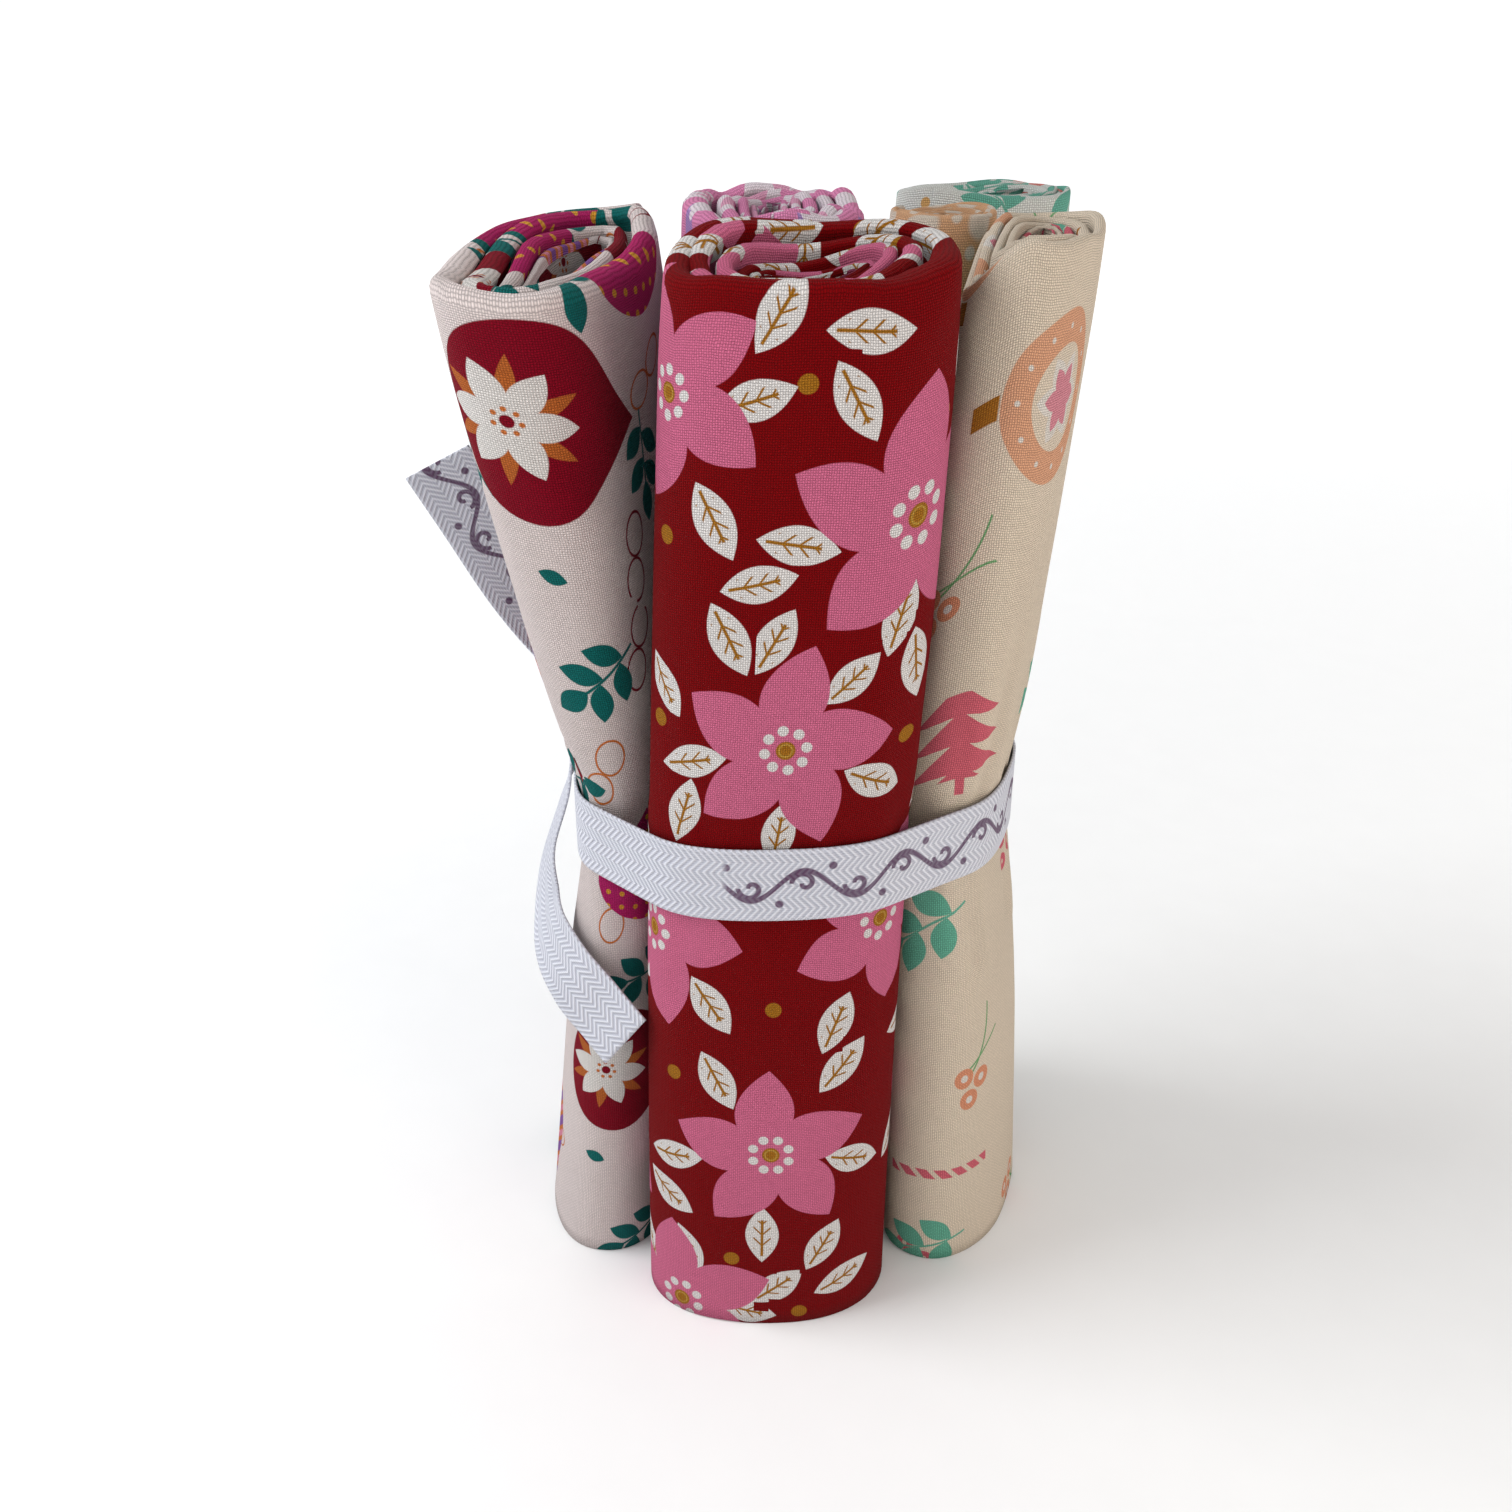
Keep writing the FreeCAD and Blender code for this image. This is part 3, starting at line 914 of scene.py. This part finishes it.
def tape_material():
    """White cotton tape in herringbone twill, with a plum scroll printed along stretches of it."""
    net = Net("tape_twill")
    u, v, marked = net.attribute("cloth")
    zig = abs(net.wrapped(v, HERRING_WIDTH)) * 0.9
    rib = net.sine((u + zig) * (2 * math.pi / RIB_PITCH)) * 0.5 + 0.5
    yarn = net.sine(v * (2 * math.pi / YARN_PITCH)) * 0.5 + 0.5
    selvedge = net.inside(7.15 - abs(v), 0.4)
    height = rib * 0.75 + yarn * 0.18 + selvedge * 0.35
    # Painted shade: the white twill is coloured blue-grey in the grooves between the ribs and lighter
    # on the ribs.
    weave_shade_and_tone = net.mix(rib * 0.7 + yarn * 0.2 + 0.1, srgb(150, 151, 164), srgb(217, 218, 225))
    weave_shade_and_tone = net.mix(selvedge * 0.4, weave_shade_and_tone, srgb(211, 212, 221))
    scroll = abs(v - net.sine(u * (2 * math.pi / SCROLL_REPEAT)) * 3.3) - 0.68
    for centre, side in ((5.25, 1.0), (15.75, -1.0)):
        du, dv = net.wrapped(u - centre, SCROLL_REPEAT), (v - 0.5 * side) * side
        r = net.length(du, dv)
        spiral = (net.math("ARCTAN2", dv, du) + math.pi) * 0.36 + 0.35
        scroll = net.least(scroll, net.most(abs(r - spiral) - 0.55, r - 3.0))
        bud = net.length(net.wrapped(u - centre - 5.6, SCROLL_REPEAT), dv - 3.6) - 0.85
        scroll = net.least(scroll, bud)
    ink = net.inside(scroll, 0.3) * marked * (rib * 0.15 + 0.85)
    colour = net.mix(ink, weave_shade_and_tone, srgb(68, 14, 62))
    slow = net.noise(0.06, 2.0, u, v)
    shade = net.mix(slow * 0.2, colour, srgb(214, 217, 232))
    return finish_cloth(net, shade, height, 1.0, 0.0004, 0.85, 0.05)


def way_along(line):
    """The length of a line from its start to each of its points."""
    return np.concatenate([[0], np.cumsum(np.linalg.norm(np.diff(line, axis=0), axis=1))])


def herring_strip(name, middle, across, widths, marks, u_start=0.0):
    """A thick strip of tape: middle line, direction across and width at each step."""
    steps = len(middle)
    lateral = np.linspace(-0.5, 0.5, TAPE_COLUMNS)
    face = np.cross(np.gradient(middle, axis=0), across)
    face /= np.linalg.norm(face, axis=1, keepdims=True)
    crowd = 1.15 * np.sqrt(np.clip(1 - widths / TAPE_WIDTH, 0, None))
    ripple = crowd[:, None] * np.sin(lateral[None, :] * 2 * math.pi * 2.5 + middle[:, 2:3] * 0.1)
    points = middle[:, None, :] + across[:, None, :] * (lateral[None, :, None] * widths[:, None, None])
    points = points + face[:, None, :] * ripple[:, :, None]
    along = way_along(middle) + u_start
    obj, _ = thick_sheet(name, points, TAPE_THICK)
    cloth = np.stack([
        np.repeat(along[:, None], TAPE_COLUMNS, 1),
        np.repeat(lateral[None, :] * TAPE_WIDTH, steps, 0),
        np.repeat(np.array(marks, float)[:, None], TAPE_COLUMNS, 1)], axis=-1).reshape(-1, 3)
    put_attribute(obj.data, "cloth", np.concatenate([cloth, cloth]), "POINT")
    return obj


def convex_hull(points):
    ordered = points[np.lexsort((points[:, 1], points[:, 0]))]
    sides = []
    for sweep in (ordered, ordered[::-1]):
        side = []
        for p in sweep:
            while len(side) > 1 and np.cross(side[-1] - side[-2], p - side[-1]) <= 0:
                side.pop()
            side.append(p)
        sides += side[:-1]
    return np.array(sides)


def waist_loop(count, outward):
    """The closed line of the tape round the waists of the rolls, in millimetres."""
    held = []
    for roll in ROLLS:
        x0, y0, wide, deep, turn, square = roll.waist
        a = np.linspace(-math.pi, math.pi, 400)
        px = wide * np.sign(np.cos(a)) * np.abs(np.cos(a)) ** (2 / square)
        py = deep * np.sign(np.sin(a)) * np.abs(np.sin(a)) ** (2 / square)
        t = math.radians(turn)
        c, s = math.cos(t), math.sin(t)
        held.append(np.stack([x0 + px * c - py * s, y0 + px * s + py * c], axis=-1))
    loop = convex_hull(np.concatenate(held))
    loop = np.concatenate([loop, loop[:1]])
    run = way_along(loop)
    even = np.linspace(0, run[-1], count + 1)[:-1]
    line = np.stack([np.interp(even, run, loop[:, k]) for k in (0, 1)], axis=-1)
    for _ in range(3):
        line = (np.roll(line, 1, 0) + 2 * line + np.roll(line, -1, 0)) / 4
    tangent = np.roll(line, -1, 0) - np.roll(line, 1, 0)
    out = np.stack([tangent[:, 1], -tangent[:, 0]], axis=-1)
    out /= np.linalg.norm(out, axis=-1, keepdims=True)
    return line + out * outward


TAPE = tape_material()
KNOT = np.array([-41.0, 84.0])


def make_band():
    loop = waist_loop(BAND_STEPS, 0.95)
    away = np.linalg.norm(loop - KNOT, axis=1)
    first = int(np.argmin(away))
    loop = np.roll(loop, -first, axis=0)
    loop = np.concatenate([loop, loop[:1]])
    away = np.linalg.norm(loop - KNOT, axis=1)
    near = np.exp(-(away / 15.0) ** 2)
    run = way_along(loop)
    z = WAIST_Z + 0.5 * np.sin(run / 19) - 0.4 * np.sin(run / 47 + 1)
    middle = np.concatenate([loop + np.array(SHIFT), z[:, None]], axis=-1)
    widths = TAPE_WIDTH * (1 - 0.45 * near)
    across = np.zeros_like(middle)
    across[:, 2] = 1
    front = (loop[:, 1] < 45) & (loop[:, 0] > -14)
    obj = herring_strip("tape_band_cloth", middle, across, widths, front.astype(float))
    return obj, float(run[-1])


def smooth_line(stops, count):
    """A smooth line through the stops (Catmull-Rom), as rows of numbers."""
    stops = np.array(stops, float)
    padded = np.concatenate([2 * stops[:1] - stops[1:2], stops, 2 * stops[-1:] - stops[-2:-1]])
    t = np.linspace(0, len(stops) - 1, count)
    k = np.minimum(t.astype(int), len(stops) - 2)
    f = (t - k)[:, None]
    a, b, c, d = padded[k], padded[k + 1], padded[k + 2], padded[k + 3]
    second, third = 2 * a - 5 * b + 4 * c - d, 3 * b - a - 3 * c + d
    return 0.5 * (2 * b + (c - a) * f + second * f ** 2 + third * f ** 3)


def make_tail(name, stops, marks, u_start):
    line = smooth_line([s[0] + s[1] + (s[2],) for s in stops], TAIL_STEPS)
    middle, across, width = line[:, :3], line[:, 3:6], line[:, 6]
    along = np.gradient(middle, axis=0)
    across = across - along * (np.sum(across * along, 1) / np.sum(along * along, 1))[:, None]
    across /= np.linalg.norm(across, axis=1, keepdims=True)
    middle = middle + np.array([*SHIFT, 0])
    marked = marks(np.linspace(0, 1, TAIL_STEPS))
    return herring_strip(name, middle, across, width * TAPE_WIDTH, marked, u_start)


# Stops of each tail: place, direction across, share of the full width. The first is in the knot.
UPPER_TAIL = [
    ((-41.5, 85.5, 116.5), (0.45, 0.80, 0.30), 0.45),
    ((-47.0, 85.0, 123.5), (0.60, 0.80, 0.05), 0.72),
    ((-53.0, 82.5, 134.0), (0.70, 0.68, 0.20), 0.95),
    ((-61.5, 79.0, 149.0), (0.80, 0.45, 0.40), 1.0),
    ((-69.5, 75.5, 165.5), (0.83, 0.15, 0.53), 1.0),
    ((-76.7, 72.0, 180.4), (0.83, 0.05, 0.55), 1.0),
]
LOWER_TAIL = [
    ((-42.0, 82.5, 113.5), (0.05, 0.30, 0.95), 0.5),
    ((-47.5, 77.5, 115.5), (0.05, 0.05, 1.00), 0.8),
    ((-49.5, 69.0, 113.5), (0.10, -0.15, 0.97), 1.0),
    ((-52.2, 60.0, 103.4), (0.30, -0.62, 0.72), 1.0),
    ((-55.2, 51.0, 94.2), (0.30, -0.72, 0.62), 1.0),
    ((-54.9, 42.0, 87.2), (0.40, -0.46, 0.76), 1.0),
    ((-52.8, 31.5, 84.2), (0.40, -0.15, 0.88), 1.0),
    ((-47.6, 22.0, 80.9), (0.42, -0.05, 0.87), 1.0),
    ((-41.0, 16.6, 75.3), (0.40, -0.02, 0.90), 1.0),
    ((-35.2, 12.0, 70.4), (0.38, 0.00, 0.92), 1.0),
]


def dress_tape(obj, node, length, body=None):
    obj.data.materials.append(TAPE)
    if body is not None:
        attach(obj, body)
    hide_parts(node)
    length * MM


band, band_length = make_band()
dress_tape(band, "tape_band", band_length, "bundle")


def tail_length(stops):
    line = smooth_line([s[0] for s in stops], TAIL_STEPS)
    return float(np.linalg.norm(np.diff(line, axis=0), axis=1).sum())


upper = make_tail("tape_tail_upper_cloth", UPPER_TAIL, lambda t: (t > 0.3) * 1.0, 4.0)
lower = make_tail("tape_tail_lower_cloth", LOWER_TAIL, lambda t: t * 0.0, 0.0)
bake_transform(upper)
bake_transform(lower)
dress_tape(upper, "tape_tail_upper", tail_length(UPPER_TAIL))
dress_tape(lower, "tape_tail_lower", tail_length(LOWER_TAIL))


def make_knot():
    """The half knot: one full wrap of the tape, pulled narrow, round the two crossing tapes."""
    t = np.linspace(0, 2 * math.pi * 1.12, 120)
    turn = math.radians(-42)
    # Round the knot's core: out from the bundle, up and over, and back in.
    out = 3.6 * np.cos(t)
    up = 6.0 * np.sin(t)
    side = (t / t[-1] - 0.5) * 5.0
    local = np.stack([out, side, up], axis=-1)
    c, s = math.cos(turn), math.sin(turn)
    middle = np.stack([
        local[:, 0] * c - local[:, 1] * s - 41.3 + SHIFT[0],
        local[:, 0] * s + local[:, 1] * c + 84.3 + SHIFT[1],
        local[:, 2] + 114.6], axis=-1)
    across = np.repeat(np.array([[-s, c, 0.25]]), len(t), 0)
    across /= np.linalg.norm(across, axis=1, keepdims=True)
    widths = TAPE_WIDTH * (0.56 + 0.06 * np.sin(t * 2))
    obj = herring_strip("tape_knot_cloth", middle, across, widths, t * 0)
    return obj, float(np.linalg.norm(np.diff(middle, axis=0), axis=1).sum())


knot, knot_length = make_knot()
dress_tape(knot, "tape_knot", knot_length, "bundle")

# ---------------------------------------------------------------- floor
floor_mesh = bpy.data.meshes.new("floor")
spokes = 64
rings = ((4, 0), (6, 0.25), (8, 1.1), (11, 3.4), (15, 7.5), (20, 13.5))  # radius, height
verts, faces = [(0, 0, 0)], []
for reach, rise in rings:
    verts += [(reach * math.cos(k * math.tau / spokes), reach * math.sin(k * math.tau / spokes), rise)
              for k in range(spokes)]
for k in range(spokes):
    faces.append((0, 1 + k, 1 + (k + 1) % spokes))
for ring in range(len(rings) - 1):
    first = 1 + ring * spokes
    for k in range(spokes):
        after = (k + 1) % spokes
        faces.append((first + k, first + spokes + k, first + spokes + after, first + after))
floor_mesh.from_pydata(verts, [], faces)
floor_mesh.polygons.foreach_set("use_smooth", [True] * len(faces))
floor = bpy.data.objects.new("floor", floor_mesh)
scene.collection.objects.link(floor)
floor_net = Net("floor_paper")
floor_net.shader.inputs["Roughness"].default_value = 0.9
floor_net.shader.inputs["Specular IOR Level"].default_value = 0.1
grain = floor_net.noise(60.0, 2.0)
paper = floor_net.mix(grain, srgb(241, 241, 241), srgb(244, 244, 244))
floor_net.tree.links.new(paper, floor_net.shader.inputs["Base Color"])
floor_mesh.materials.append(floor_net.material)
# The paper runs up into a backdrop and glows with painted light, none beside the bundle and brighter
# away from it.
place = floor_net.node("ShaderNodeTexCoord")
reach = floor_net.node("ShaderNodeVectorMath", operation="LENGTH")
floor_net.tree.links.new(place.outputs["Object"], reach.inputs[0])
glow = floor_net.math("MULTIPLY_ADD", Value(floor_net, reach.outputs["Value"]), 0.83, -0.15, clamp=True)
floor_net.shader.inputs["Emission Color"].default_value = (1, 1, 1, 1)
floor_net.feed(floor_net.shader.inputs["Emission Strength"], glow * 0.45)
